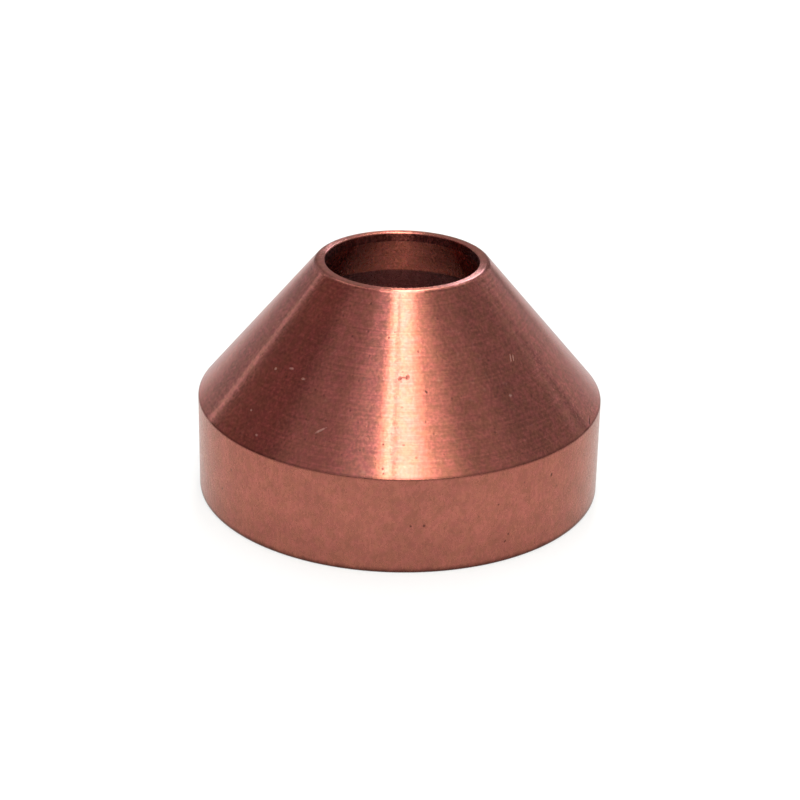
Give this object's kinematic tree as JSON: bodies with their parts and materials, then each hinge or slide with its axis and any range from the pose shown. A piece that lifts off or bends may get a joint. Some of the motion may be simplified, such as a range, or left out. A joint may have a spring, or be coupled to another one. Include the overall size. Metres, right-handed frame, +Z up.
{
  "type": "plasma gouging shield",
  "caption": "Turned copper shield for a hand plasma torch: a threaded skirt under a cone with a wide open tip, used for gouging metal.",
  "frame": {"origin": "centre of the base, on the flat ring that the shield stands on", "axes": "+Z up the middle of the orifice, from the threaded mouth to the tip; X and Y are alike"},
  "size_m": [0.03, 0.03, 0.0178],
  "materials": {
    "copper": "bare copper, fine-turned cone and satin skirt"
  },
  "bodies": {
    "root": {"gouging_shield": "copper"}
  },
  "joints": []
}
